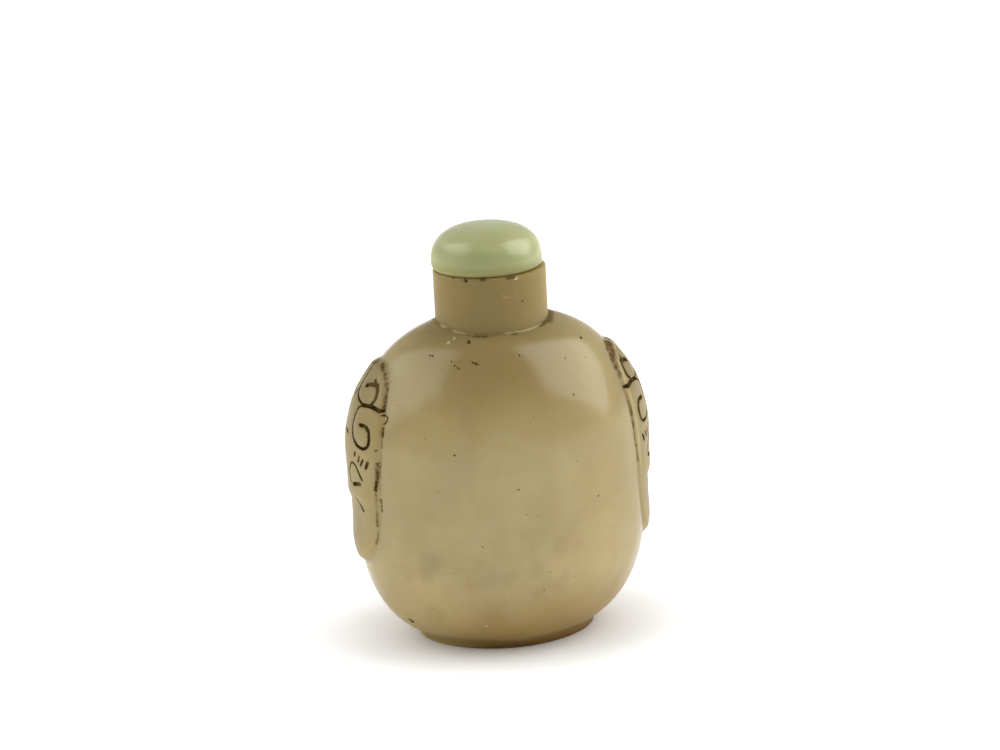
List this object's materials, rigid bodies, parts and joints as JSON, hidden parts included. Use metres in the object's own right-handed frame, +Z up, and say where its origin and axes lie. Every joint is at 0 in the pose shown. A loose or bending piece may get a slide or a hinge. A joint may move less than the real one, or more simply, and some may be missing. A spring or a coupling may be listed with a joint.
{
  "type": "snuff bottle",
  "caption": "Flattened hollow stone snuff bottle on an oval foot, with a carved mask on each narrow side and a domed lift-off stopper.",
  "frame": {"origin": "middle of the oval foot's underside, where the bottle stands", "axes": "+Z up through the neck; the masks face -X and +X, the plain broad faces face -Y and +Y"},
  "size_m": [0.0468, 0.035, 0.0636],
  "materials": {
    "agate": "polished, slightly translucent, with dark residue in the carving",
    "jadeite": "polished, translucent"
  },
  "bodies": {
    "root": {"bottle": "agate", "stopper": "jadeite"}
  },
  "joints": []
}
